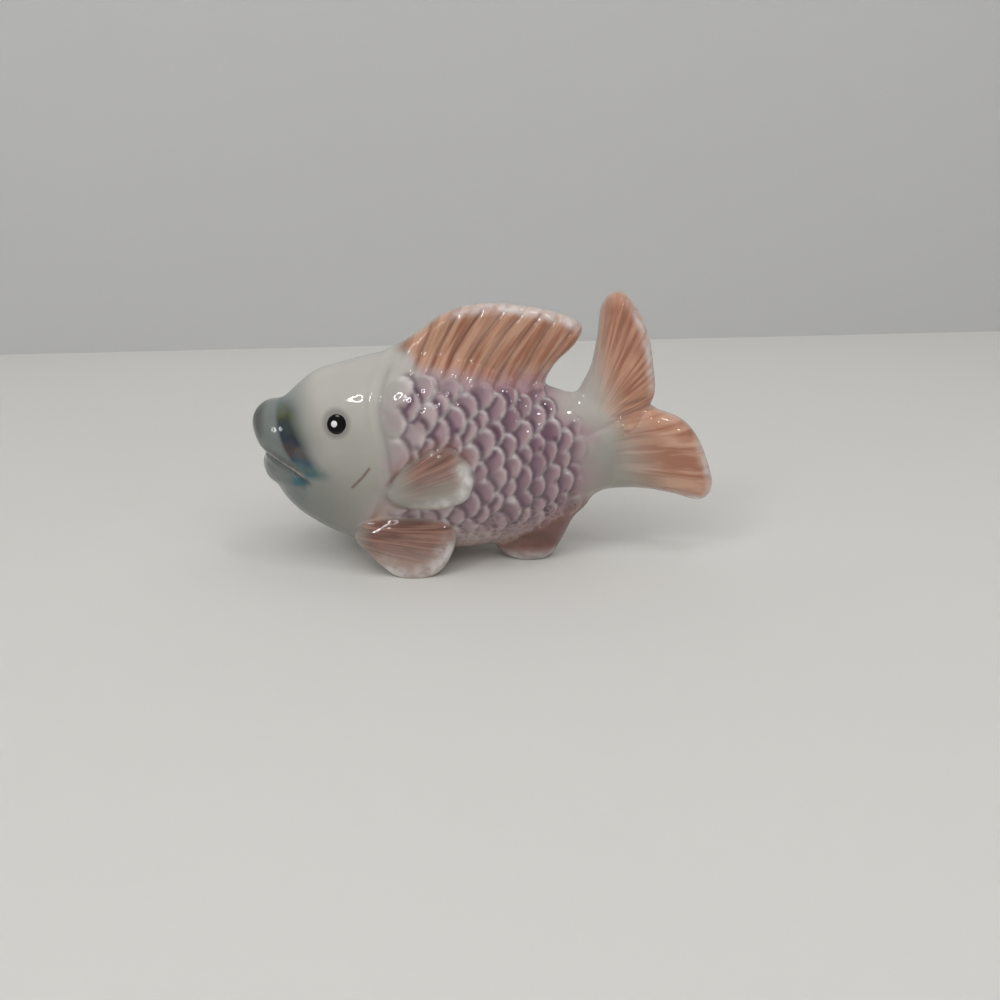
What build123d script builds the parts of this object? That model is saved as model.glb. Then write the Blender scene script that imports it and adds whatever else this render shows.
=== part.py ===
"""Fish figurine: a hollow slip-cast body with separately cast fins luted on, and raised enamel eyes.

Millimetres. +X runs from the mouth to the tail, +Z is up, the fish's plane of symmetry is Y = 0 and the
table it stands on is Z = 0. The left flank faces -Y. Every fin is cut to the surface that it is luted to.
"""

from build123d import *
import math
import os

# Body casting
wall = 3.5  # cast thickness of the hollow body
vent_diameter = 3.0  # firing vent through the belly
vent_x = -4.0
gill_step = 0.7  # height of the gill rim above the scaled flank
# Sections from the mouth to the tail joint: place along X, underside, back, half width
body_sections = [
    (-46.0, 17.6, 34.4, 6.8),
    (-42.5, 12.8, 36.6, 9.0),
    (-37.0, 8.6, 40.8, 10.8),
    (-30.5, 5.4, 43.8, 12.3),
    (-22.5, 3.4, 46.2, 13.8),
    (-13.0, 2.4, 47.6, 14.8),
    (-4.0, 2.4, 46.6, 14.6),
    (5.0, 4.2, 43.6, 13.0),
    (13.0, 7.6, 39.6, 10.2),
    (20.0, 11.6, 37.6, 7.4),
]
# The rear rim of the gill cover, from the back to the belly
gill_rim = [
    (-17.0, 50.0), (-20.2, 45.0), (-22.2, 37.0), (-20.4, 28.4), (-20.0, 22.0), (-23.0, 14.0), (-29.0, 3.0),
]

# Lips: centres and radii of their round sections from the middle of the mouth to its corner
upper_lip = [((-45.0, 0.0, 31.2), 5.5), ((-44.0, -4.8, 28.8), 4.1), ((-39.0, -9.6, 22.8), 1.4)]
lower_lip = [((-45.3, 0.0, 22.1), 3.4), ((-43.8, -4.8, 21.4), 2.8), ((-39.2, -9.2, 20.0), 1.2)]

# Scales: rows of domed discs, tilted so that each rear edge stands above the next scale
scale_radius = 2.85  # beside the gill rim
scale_taper = 0.014  # loss of radius for each millimetre towards the tail
scale_dome = 6.0  # radius of the domed face
scale_sink = 1.6  # depth of a scale's body below its rim
scale_tilt = 14.0  # degrees
scale_pitch_x = 2.9
scale_pitch_z = 5.8  # beside the gill rim
scale_converge = 0.04  # loss of that pitch for each millimetre towards the tail
scale_first_x = -18.2
scale_columns = 13
scale_middle_z = 24.6
scale_stray = 0.3  # hand-made irregularity of a scale's place
scale_reach = 0.86  # share of the flank's half height that the scales cover

# Eyes
eye_place = (-30.6, 33.9)  # X and Z
eye_diameter = 4.2
eye_height = 0.3
glint_diameter = 1.7
glint_height = 0.2
glint_shift = -0.4  # towards the mouth

# Fins: outlines in X and Z. A taper is the axis it runs along, two places on it and the thickness at each
rim_round = 1.3  # rounding of the thin fins' rims
foot_round = 1.6  # rounding of the stout fins that the fish stands on
groove_radius = 0.9
groove_depth = 0.5

dorsal_outline = [
    (-2.0, 56.7), (4.0, 56.8), (10.5, 56.0), (16.6, 54.6), (20.4, 52.0), (18.8, 48.4), (15.4, 45.2),
    (13.0, 41.6), (10.0, 37.0), (2.0, 37.0), (-8.0, 39.0), (-16.5, 41.5), (-19.0, 45.4), (-13.5, 51.2),
    (-8.2, 54.9),
]
dorsal_taper = ("Z", (36.0, 57.0), (9.6, 3.8))
dorsal_rays = 11
dorsal_feet = ((-14.4, 47.8), (13.8, 44.6))  # lower ends of the first and last grooves
dorsal_heads = ((-11.8, 50.8), (17.6, 50.4))
dorsal_crown = 54.6  # height that the middle grooves rise to
dorsal_hollow = 41.6  # height that the middle grooves start from

tail_upper_outline = [
    (21.4, 34.0), (22.6, 42.0), (24.2, 47.5), (24.4, 52.5), (25.6, 57.4), (28.4, 59.4), (31.4, 57.2),
    (34.4, 51.4), (36.3, 43.4), (35.6, 34.0), (29.0, 28.0),
]
tail_upper_taper = ("Z", (24.0, 60.0), (9.0, 4.0))
tail_lower_outline = [
    (22.0, 27.0), (27.0, 33.6), (34.0, 34.6), (39.5, 33.2), (43.4, 31.4), (46.6, 27.4), (49.0, 21.8),
    (50.4, 16.6), (48.0, 13.8), (42.0, 15.2), (35.5, 16.4), (29.2, 16.4), (24.0, 18.6),
]
tail_lower_taper = ("X", (20.0, 51.0), (9.4, 4.0))
tail_neck = (31.0, 16.8, 41.0, 3.6)  # the section where the neck has run out into the lobes
tail_upper_origin = (22.0, 20.0)  # point that the upper lobe's grooves fan out from
tail_upper_rays = (67.0, 80.0, 5)  # angles of the first and last grooves in degrees, and their number
tail_upper_span = (21.0, 30.5)  # distances from the origin where grooves start and end
tail_lower_origin = (12.0, 25.0)
tail_lower_rays = (-13.0, 12.0, 6)
tail_lower_span = (20.5, 35.5)

pectoral_outline = [
    (-17.0, 24.6), (-12.4, 27.8), (-7.8, 29.4), (-4.2, 26.6), (-2.4, 22.2), (-5.4, 18.2), (-11.6, 16.9),
    (-18.4, 17.8), (-21.0, 20.6),
]
pectoral_taper = ("X", (-21.0, -2.0), (6.6, 4.6))
pectoral_middle = -13.9  # Y of the fin's middle plane
pectoral_lift = 4.0  # degrees that the tip stands off the flank
pectoral_ray_origin = (-27.0, 18.6)
pectoral_rays = (2.0, 26.0, 5)
pectoral_span = (10.5, 20.5)

pelvic_outline = [
    (-22.4, 13.6), (-15.0, 14.9), (-9.0, 14.0), (-6.1, 10.2), (-7.0, 5.4), (-10.4, 0.6), (-15.0, -1.4),
    (-19.8, 0.6), (-25.0, 5.6), (-27.4, 10.0),
]
pelvic_taper = ("X", (-28.0, -6.0), (8.6, 5.8))
pelvic_middle = -12.2
pelvic_splay = 8.0  # degrees that the lower edge stands out
pelvic_ray_origin = (-38.0, 12.0)
pelvic_rays = (-19.0, -1.0, 4)
pelvic_span = (15.5, 28.5)

anal_outline = [
    (2.2, 9.0), (3.2, 2.6), (7.0, -1.6), (11.4, -2.0), (14.9, 0.4), (17.2, 4.8), (19.0, 10.0), (15.0, 17.0),
    (6.0, 17.0),
]
anal_taper = ("Z", (-2.0, 17.0), (9.6, 12.0))
dish_radius = 6.0  # hollow on each side of the anal fin
dish_depth = 0.9
dish_place = (10.4, 4.4)  # X and Z

reach = 200.0  # larger than the object, for cutting tools


def section_at(x):
    """Underside, back and half width of the body at a place along X."""
    for fore, aft in zip(body_sections, body_sections[1:]):
        if x <= aft[0]:
            break
    share = (x - fore[0]) / (aft[0] - fore[0])
    return [f + (a - f) * share for f, a in zip(fore[1:], aft[1:])]


def flank(x, z):
    """Point and outward normal of the left flank at X and Z."""
    low, high, half_width = section_at(x)
    half_height = (high - low) / 2
    rise = (z - (high + low) / 2) / half_height
    y = -half_width * math.sqrt(1 - rise * rise)
    return Vector(x, y, z), Vector(0, y / half_width**2, rise / half_height).normalized()


def ellipse_section(x, low, high, half_width, grow=0.0):
    """Upright elliptical section of the body, grown all round."""
    plane = Plane(origin=(x, 0, (low + high) / 2), x_dir=(0, 1, 0), z_dir=(1, 0, 0))
    return plane * Ellipse(half_width + grow, (high - low) / 2 + grow)


def body_loft(grow, sections=body_sections):
    """Smooth body through the sections, grown or shrunk all round."""
    return loft([ellipse_section(*s, grow=grow) for s in sections])


def half_space(axis_point):
    """Large box on one side of the origin, standing off along the given direction."""
    return Pos(*[reach / 2 * c for c in axis_point]) * Box(reach, reach, reach)


left_side = half_space((0, -1, 0))
below_table = half_space((0, 0, -1))


def gill_region():
    """Everything in front of the gill rim."""
    rim = Spline(*gill_rim)
    front = -reach / 2
    edges = [rim, Polyline(gill_rim[-1], (front, gill_rim[-1][1]), (front, gill_rim[0][1]), gill_rim[0])]
    return extrude(Plane.XZ * make_face(edges), reach / 2, both=True)


def lip(stations):
    """Half of a lip on the left, a round roll that thins towards the corner of the mouth."""
    rounds = []
    for index, (centre, radius) in enumerate(stations):
        ahead = Vector(*stations[min(index + 1, len(stations) - 1)][0])
        behind = Vector(*stations[max(index - 1, 0)][0])
        along = Vector(0, -1, 0) if index == 0 else ahead - behind
        rounds.append(Plane(origin=centre, z_dir=along) * Circle(radius))
    corner, corner_radius = stations[-1]
    return loft(rounds) + Pos(*corner) * Sphere(corner_radius)


def scale_disc(radius):
    """One scale lying on the origin: a disc with a domed face."""
    drop = scale_dome - math.sqrt(scale_dome**2 - radius**2)
    shoulder = radius / 2
    rise = drop - scale_dome + math.sqrt(scale_dome**2 - shoulder**2)
    dome = ThreePointArc((radius, 0), (shoulder, rise), (0, drop))
    sides = Polyline((0, drop), (0, -scale_sink), (radius, -scale_sink), (radius, 0))
    return revolve(Plane.XZ * make_face([dome, sides]), Axis.Z)


def gill_x(z):
    """Place of the gill rim along X at a height."""
    for upper, lower in zip(gill_rim, gill_rim[1:]):
        if z >= lower[1]:
            break
    return upper[0] + (lower[0] - upper[0]) * (upper[1] - z) / (upper[1] - lower[1])


def scale_groups():
    """The left flank's scales in six groups, within which no two scales touch."""
    groups = {}
    covered = extrude(Plane.XZ * make_face([Spline(*pectoral_outline, periodic=True)]), wall, both=True)
    for column in range(scale_columns):
        column_x = scale_first_x + column * scale_pitch_x
        pitch_z = scale_pitch_z - scale_converge * (column_x - scale_first_x)
        rows = int(reach / 4 / pitch_z)
        for row in range(-rows, rows + 1):
            x = column_x + scale_stray * math.sin(5 * column + 3 * row)
            z = scale_middle_z + (row + column % 2 / 2) * pitch_z
            z += scale_stray * math.sin(7 * column + 4 * row)
            radius = scale_radius - scale_taper * (x - scale_first_x)
            low, high, _ = section_at(x)
            rise = abs(z - (high + low) / 2) / ((high - low) / 2)
            hidden = covered.is_inside((x, 0, z))
            if hidden or rise > scale_reach or x < gill_x(z) + radius / 2:
                continue
            place, normal = flank(x, z)
            lean = normal + Vector(math.tan(math.radians(scale_tilt)), 0, 0)
            disc = Plane(origin=place, z_dir=lean) * scale_disc(radius)
            groups.setdefault((column % 3, row % 2), []).append(disc)
    return groups.values()


def half_casting():
    """The left half of the body in the round: trunk, gill cover, lips and scales."""
    half = (body_loft(0) & left_side) + (body_loft(gill_step) & gill_region() & left_side)
    half = half + (lip(upper_lip) & left_side) + (lip(lower_lip) & left_side)
    for group in scale_groups():
        half = half.fuse(*group)
    return half


def both_halves(half):
    """A left half joined to its mirror image across the plane of symmetry."""
    skin = [face for face in half.faces() if face.geom_type != GeomType.PLANE or abs(face.center().Y) > 0.01]
    skin += [mirror(face, about=Plane.XZ) for face in skin]
    return Solid(Shell(Face.sew_faces(skin)[0]))


def hollow(casting):
    """The casting with its cavity and the firing vent in the belly."""
    cavity = body_loft(-wall, body_sections[1:-1])
    low, high, _ = section_at(vent_x)
    vent = Pos(vent_x, 0, low) * Cylinder(vent_diameter / 2, (high - low) / 2)
    return casting - cavity - vent


def half_thickness(taper, x, z):
    """Half of a tapering fin's thickness at a place in its plane."""
    axis, (start, end), (thick, thin) = taper
    share = ((x if axis == "X" else z) - start) / (end - start)
    return (thick + (thin - thick) * share) / 2


def taper_wedge(taper):
    """Slab of the taper's thickness, wider and taller than any fin."""
    axis, (start, end), _ = taper
    beyond = (start - wall, end + wall)
    corners = []
    for side, ends in ((1, beyond), (-1, beyond[::-1])):
        corners += [(place, side * half_thickness(taper, place, place)) for place in ends]
    base = Plane(origin=(0, 0, 0), x_dir=(0, 0, 1), z_dir=(-1, 0, 0)) if axis == "Z" else Plane.XY
    return extrude(base * make_face(Polyline(*corners, close=True)), reach / 2, both=True)


def groove(foot, head, taper, side):
    """Round bar that presses a groove into one face of a fin, along a line in X and Z."""
    ends = []
    for x, z in (foot, head):
        ends.append(Vector(x, side * (half_thickness(taper, x, z) + groove_radius - groove_depth), z))
    run = ends[1] - ends[0]
    bar = Cylinder(groove_radius, run.length, align=(Align.CENTER, Align.CENTER, Align.MIN))
    return Plane(origin=ends[0], z_dir=run) * bar


def fan(origin, rays, span):
    """Lines in X and Z that fan out from a point: their feet and heads."""
    first, last, count = rays
    lines = []
    for ray in range(count):
        angle = math.radians(first + (last - first) * ray / (count - 1))
        lines.append([(origin[0] + r * math.cos(angle), origin[1] + r * math.sin(angle)) for r in span])
    return lines


def fin(outline, taper, rounding, lines, sides=(-1, 1)):
    """Fin about the plane Y = 0: a tapering plate with a rounded rim and grooves along the lines."""
    face = Plane.XZ.offset(-reach / 4) * make_face([Spline(*outline, periodic=True)])
    blank = extrude(face, reach / 2) & taper_wedge(taper)
    rims = [edge for edge in blank.edges() if edge.geom_type == GeomType.BSPLINE]
    blank = fillet(rims, rounding)
    bars = [groove(foot, head, taper, side) for foot, head in lines for side in sides]
    return blank - bars if bars else blank


def dorsal_fin():
    """Dorsal fin with its slanting rays."""
    lines = []
    for ray in range(dorsal_rays):
        share = ray / (dorsal_rays - 1)
        bow = 4 * share * (1 - share)
        ends = []
        for (first, last), middle in ((dorsal_feet, dorsal_hollow), (dorsal_heads, dorsal_crown)):
            x = first[0] + (last[0] - first[0]) * share
            z = first[1] + (last[1] - first[1]) * share
            ends.append((x, z + bow * (middle - z)))
        lines.append(ends)
    return fin(dorsal_outline, dorsal_taper, rim_round, lines)


def tail_fin():
    """Forked tail fin: two grooved lobes on a neck that carries on from the body."""
    upper_lines = fan(tail_upper_origin, tail_upper_rays, tail_upper_span)
    lower_lines = fan(tail_lower_origin, tail_lower_rays, tail_lower_span)
    upper = fin(tail_upper_outline, tail_upper_taper, rim_round, upper_lines)
    lower = fin(tail_lower_outline, tail_lower_taper, rim_round, lower_lines)
    neck = loft([ellipse_section(*body_sections[-1]), ellipse_section(*tail_neck)])
    return upper + lower + neck


def pectoral_fin():
    """Left pectoral fin, lying back along the flank."""
    lines = fan(pectoral_ray_origin, pectoral_rays, pectoral_span)
    root = min(x for x, _ in pectoral_outline)
    turn = Pos(root, pectoral_middle, 0) * Rot(0, 0, -pectoral_lift) * Pos(-root, 0, 0)
    return turn * fin(pectoral_outline, pectoral_taper, rim_round, lines, sides=(-1,))


def pelvic_fin():
    """Left pelvic fin, splayed out to make a front foot."""
    lines = fan(pelvic_ray_origin, pelvic_rays, pelvic_span)
    turn = Pos(0, pelvic_middle, 0) * Rot(-pelvic_splay, 0, 0)
    return turn * fin(pelvic_outline, pelvic_taper, foot_round, lines, sides=(-1,)) - below_table


def anal_fin():
    """Anal fin, the rear foot, with a shallow hollow on each side."""
    foot = fin(anal_outline, anal_taper, foot_round, [])
    x, z = dish_place
    out = half_thickness(anal_taper, x, z) + dish_radius - dish_depth
    dishes = [Pos(x, side * out, z) * Sphere(dish_radius) for side in (-1, 1)]
    return foot - dishes - below_table


def dot(diameter, x_shift, height):
    """Left-hand dot of enamel over the eye's place, standing this far above the head."""
    x, z = eye_place
    post = Plane(origin=(x + x_shift, 0, z), z_dir=(0, -1, 0)) * Cylinder(
        diameter / 2, reach / 2, align=(Align.CENTER, Align.CENTER, Align.MIN)
    )
    return post & body_loft(gill_step + height)


def mirrored(name, part):
    """The left-hand part and its right-hand copy, by node name."""
    return {"left_" + name: part, "right_" + name: mirror(part, about=Plane.XZ)}


def build():
    """Every node of the figurine by name."""
    casting = both_halves(half_casting())
    eye = dot(eye_diameter, 0, eye_height) - casting
    glint = dot(glint_diameter, glint_shift, eye_height + glint_height) - casting - eye
    return {
        "body_shell": hollow(casting),
        "dorsal_fin": dorsal_fin() - casting,
        "tail_fin": tail_fin() - casting,
        "anal_fin": anal_fin() - casting,
        **mirrored("pectoral_fin", pectoral_fin() - casting),
        **mirrored("pelvic_fin", pelvic_fin() - casting),
        **mirrored("eye", eye),
        **mirrored("eye_glint", glint),
    }


if __name__ == "__main__":
    os.makedirs("parts", exist_ok=True)
    for name, part in build().items():
        export_step(part, f"parts/{name}.step")
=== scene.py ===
"""Looks of a glazed ceramic fish figurine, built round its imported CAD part.

The body and its fins are modelled as blanks, melted into one skin as slip and glaze melt a casting's joints,
sculpted with scales and rays, and then parted again into one closed piece for each node of the CAD part.
"""

import logging
import math
from dataclasses import dataclass, field
from enum import Enum

import bpy
import numpy as np
from mathutils import Matrix, Vector


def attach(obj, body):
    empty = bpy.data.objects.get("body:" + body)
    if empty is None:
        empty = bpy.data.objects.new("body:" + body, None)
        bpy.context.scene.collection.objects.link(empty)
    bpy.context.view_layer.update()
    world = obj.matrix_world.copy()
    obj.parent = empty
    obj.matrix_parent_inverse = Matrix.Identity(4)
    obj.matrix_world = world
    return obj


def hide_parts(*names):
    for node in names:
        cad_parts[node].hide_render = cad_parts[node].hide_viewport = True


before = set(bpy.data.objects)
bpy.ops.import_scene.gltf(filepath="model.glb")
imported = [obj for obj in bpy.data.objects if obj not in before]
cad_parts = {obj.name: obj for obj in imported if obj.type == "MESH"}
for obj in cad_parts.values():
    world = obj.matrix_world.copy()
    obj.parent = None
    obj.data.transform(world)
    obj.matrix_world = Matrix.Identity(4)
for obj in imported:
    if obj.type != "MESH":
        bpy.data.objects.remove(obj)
log = logging.getLogger("fish")

MM = 0.001
Points = list[tuple[float, float]]

# Body sections from the mouth to the end of the tail's neck: X, underside, back, half width, in millimetres
SECTIONS = np.array([
    (-48.4, 19.4, 33.4, 5.0), (-46.0, 16.6, 35.4, 7.0), (-44.0, 14.2, 36.7, 8.4),
    (-42.0, 12.3, 38.0, 9.4), (-37.0, 8.6, 42.0, 10.8), (-30.5, 5.4, 44.2, 12.3), (-22.5, 3.4, 46.2, 13.8),
    (-13.0, 2.4, 47.6, 14.8), (-4.0, 2.4, 46.6, 14.6),
    (5.0, 4.2, 43.6, 13.0), (13.0, 7.6, 39.6, 10.2), (20.0, 11.6, 37.6, 7.4), (26.0, 15.2, 38.0, 5.4),
    (32.0, 18.0, 38.0, 4.0),
])
# Rear rim of the gill cover, from the back to the belly: X and Z
GILL_RIM = np.array([
    (-17.0, 50.0), (-20.2, 45.0), (-22.2, 37.0), (-20.4, 28.4), (-20.0, 22.0), (-23.0, 14.0), (-29.0, 3.0),
])

# Heights at which the dorsal fin's grooves are given, and the X of each groove there, front to rear
GROOVE_HEIGHTS = (44.0, 49.5, 54.5)
GROOVES = (
    (-18.2, -16.2, -14.6), (-14.7, -12.4, -10.4), (-11.3, -8.6, -5.9), (-7.8, -4.8, -1.5), (-4.1, -0.8, 3.0),
    (-0.2, 3.3, 7.3), (4.0, 7.6, 11.6), (8.5, 11.8, 15.0), (12.7, 16.7, 20.6), (17.0, 21.5, 25.5),
)
# Rear edge of the upper lip, from the back to the corner of the mouth: X and Z
CREASE = np.array([
    (-44.3, 37.5), (-44.1, 35.6), (-43.8, 33.4), (-42.9, 30.5), (-41.9, 28.0), (-40.2, 25.4), (-37.9, 22.8),
])

# Line where the lips meet, from the front of the mouth to its corner: X and Z
MOUTH = np.array([
    (-49.6, 25.4), (-47.2, 25.6), (-45.5, 24.9), (-43.2, 24.2), (-40.7, 23.0), (-38.7, 21.5), (-37.6, 20.2),
])
# Middle of the eye: X and Z
EYE = (-30.6, 33.9)


def ramp(start: float, end: float, value: np.ndarray) -> np.ndarray:
    """Smooth step from 0 at start to 1 at end.

    Args:
        start: Value where the step begins; it may be the larger one.
        end: Value where the step is complete.
        value: Values to pass through the step.

    Returns:
        The step at each value, between 0 and 1.
    """
    share = np.clip((value - start) / (end - start), 0.0, 1.0)
    return share * share * (3.0 - 2.0 * share)


def curve_at(places: np.ndarray, values: np.ndarray, wanted: np.ndarray) -> np.ndarray:
    """Smooth curve through points, by cubic pieces.

    Args:
        places: Rising places of the points.
        values: Values at those places.
        wanted: Places to read the curve at.

    Returns:
        The curve's values at the wanted places.
    """
    slopes = np.gradient(values, places)
    wanted = np.clip(wanted, places[0], places[-1])
    index = np.clip(np.searchsorted(places, wanted) - 1, 0, len(places) - 2)
    width = places[index + 1] - places[index]
    t = (wanted - places[index]) / width
    a, b = values[index], values[index + 1]
    m, n = slopes[index] * width, slopes[index + 1] * width
    ends = (2 * t**3 - 3 * t**2 + 1) * a + (3 * t**2 - 2 * t**3) * b
    return ends + (t**3 - 2 * t**2 + t) * m + (t**3 - t**2) * n


def closed_curve(points: Points, steps: int = 12) -> np.ndarray:
    """Smooth closed curve through points.

    Args:
        points: Corners that the curve passes through, in order.
        steps: Points on the curve for each corner.

    Returns:
        Points on the curve.
    """
    p1 = np.array(points, float)
    p0, p2, p3 = np.roll(p1, 1, 0), np.roll(p1, -1, 0), np.roll(p1, -2, 0)
    out = []
    for t in np.arange(steps) / steps:
        bend = (2 * p0 - 5 * p1 + 4 * p2 - p3) * t**2 + (3 * p1 - p0 - 3 * p2 + p3) * t**3
        out.append(0.5 * (2 * p1 + (p2 - p0) * t + bend))
    return np.stack(out, 1).reshape(-1, 2)


def line_distance(line: np.ndarray, places: np.ndarray, closed: bool) -> tuple[np.ndarray, np.ndarray]:
    """Distance to a line of points, counted as positive inside a closed one.

    Args:
        line: Points of the line, in order.
        places: Places to measure from, one per row.
        closed: Whether the last point joins the first.

    Returns:
        The distances and the nearest points on the line.
    """
    start = line if closed else line[:-1]
    end = np.roll(line, -1, 0) if closed else line[1:]
    along = end - start
    size = (along**2).sum(1)
    distance = np.empty(len(places))
    nearest = np.empty_like(places)
    for low in range(0, len(places), 8000):
        p = places[low:low + 8000, None, :]
        share = np.clip(((p - start) * along).sum(2) / size, 0, 1)
        foot = start + share[..., None] * along
        gap = ((p - foot)**2).sum(2)
        best = gap.argmin(1)
        rows = np.arange(len(best))
        sign = np.ones(len(best))
        if closed:
            above = (start[:, 1] > p[..., 1]) != (end[:, 1] > p[..., 1])
            rise = np.where(along[:, 1] == 0, 1e-9, along[:, 1])
            cross = start[:, 0] + (p[..., 1] - start[:, 1]) * along[:, 0] / rise
            sign = np.where((above & (p[..., 0] < cross)).sum(1) % 2 == 1, 1.0, -1.0)
        distance[low:low + 8000] = np.sqrt(gap[rows, best]) * sign
        nearest[low:low + 8000] = foot[rows, best]
    return distance, nearest


def body_gap(p: np.ndarray) -> np.ndarray:
    """Distance of points outside the smooth body, in millimetres, negative within it.

    Args:
        p: Points in millimetres, one per row.

    Returns:
        One distance for each point.
    """
    low, high, half = (curve_at(SECTIONS[:, 0], SECTIONS[:, k], p[:, 0]) for k in (1, 2, 3))
    tall = (high - low) / 2
    v = p[:, 2] - (high + low) / 2
    reach = np.sqrt((p[:, 1] / half)**2 + (v / tall)**2) + 1e-9
    slope = np.sqrt((p[:, 1] / half**2)**2 + (v / tall**2)**2) / reach + 1e-9
    return np.maximum((reach - 1.0) / slope, p[:, 0] - SECTIONS[-1, 0] + 3.0)


def dorsal_base(x: np.ndarray) -> np.ndarray:
    """Height on the flank where the dorsal fin's rays begin.

    Args:
        x: Places along X in millimetres.

    Returns:
        One height for each place.
    """
    return np.interp(x, [-18.0, -15.4, -12.9, -6.2, 2.3, 13.0], [48.2, 46.0, 44.0, 42.4, 40.4, 40.0])


def dorsal_ray(x: np.ndarray, z: np.ndarray) -> np.ndarray:
    """Counts the dorsal fin's rays from the front, with half numbers in the grooves.

    Args:
        x: Places along X in millimetres.
        z: Heights in millimetres.

    Returns:
        One running number for each place.
    """
    fits = [np.polyfit(GROOVE_HEIGHTS, row, 2) for row in GROOVES]
    lines = np.stack([np.polyval(fit, np.clip(z, 40.0, 58.0)) for fit in fits], 1)
    shares = np.clip((x[:, None] - lines[:, :-1]) / np.diff(lines, axis=1), 0.0, 1.0)
    return shares.sum(1) + 0.5


def gill_gap(p: np.ndarray) -> np.ndarray:
    """How far points lie behind the gill rim along X, in millimetres.

    Args:
        p: Points in millimetres, one per row.

    Returns:
        One distance for each point, negative on the head.
    """
    return p[:, 0] - curve_at(GILL_RIM[::-1, 1], GILL_RIM[::-1, 0], p[:, 2])


def select_only(piece: bpy.types.Object) -> None:
    """Makes one object the only selected and active one.

    Args:
        piece: Object to select.
    """
    bpy.ops.object.select_all(action="DESELECT")
    piece.select_set(True)
    bpy.context.view_layer.objects.active = piece


def get_points(piece: bpy.types.Object) -> np.ndarray:
    """Reads an object's vertices.

    Args:
        piece: Mesh object.

    Returns:
        Vertex places in millimetres, one per row.
    """
    flat = np.empty(len(piece.data.vertices) * 3)
    piece.data.vertices.foreach_get("co", flat)
    return flat.reshape(-1, 3) / MM


def set_points(piece: bpy.types.Object, points: np.ndarray) -> None:
    """Moves an object's vertices.

    Args:
        piece: Mesh object.
        points: New places in millimetres, one per row.
    """
    piece.data.vertices.foreach_set("co", (points * MM).ravel())
    piece.data.update()


def get_normals(piece: bpy.types.Object) -> np.ndarray:
    """Reads an object's vertex normals.

    Args:
        piece: Mesh object.

    Returns:
        Unit normals, one per row.
    """
    flat = np.empty(len(piece.data.vertices) * 3)
    piece.data.vertex_normals.foreach_get("vector", flat)
    return flat.reshape(-1, 3)


def apply_modifier(piece: bpy.types.Object, kind: str, **settings) -> None:
    """Adds a modifier and applies it.

    Args:
        piece: Object to change.
        kind: Modifier type.
        settings: Modifier properties.
    """
    select_only(piece)
    modifier = piece.modifiers.new(kind.lower(), kind)
    for name, value in settings.items():
        setattr(modifier, name, value)
    bpy.ops.object.modifier_apply(modifier=modifier.name)


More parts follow.
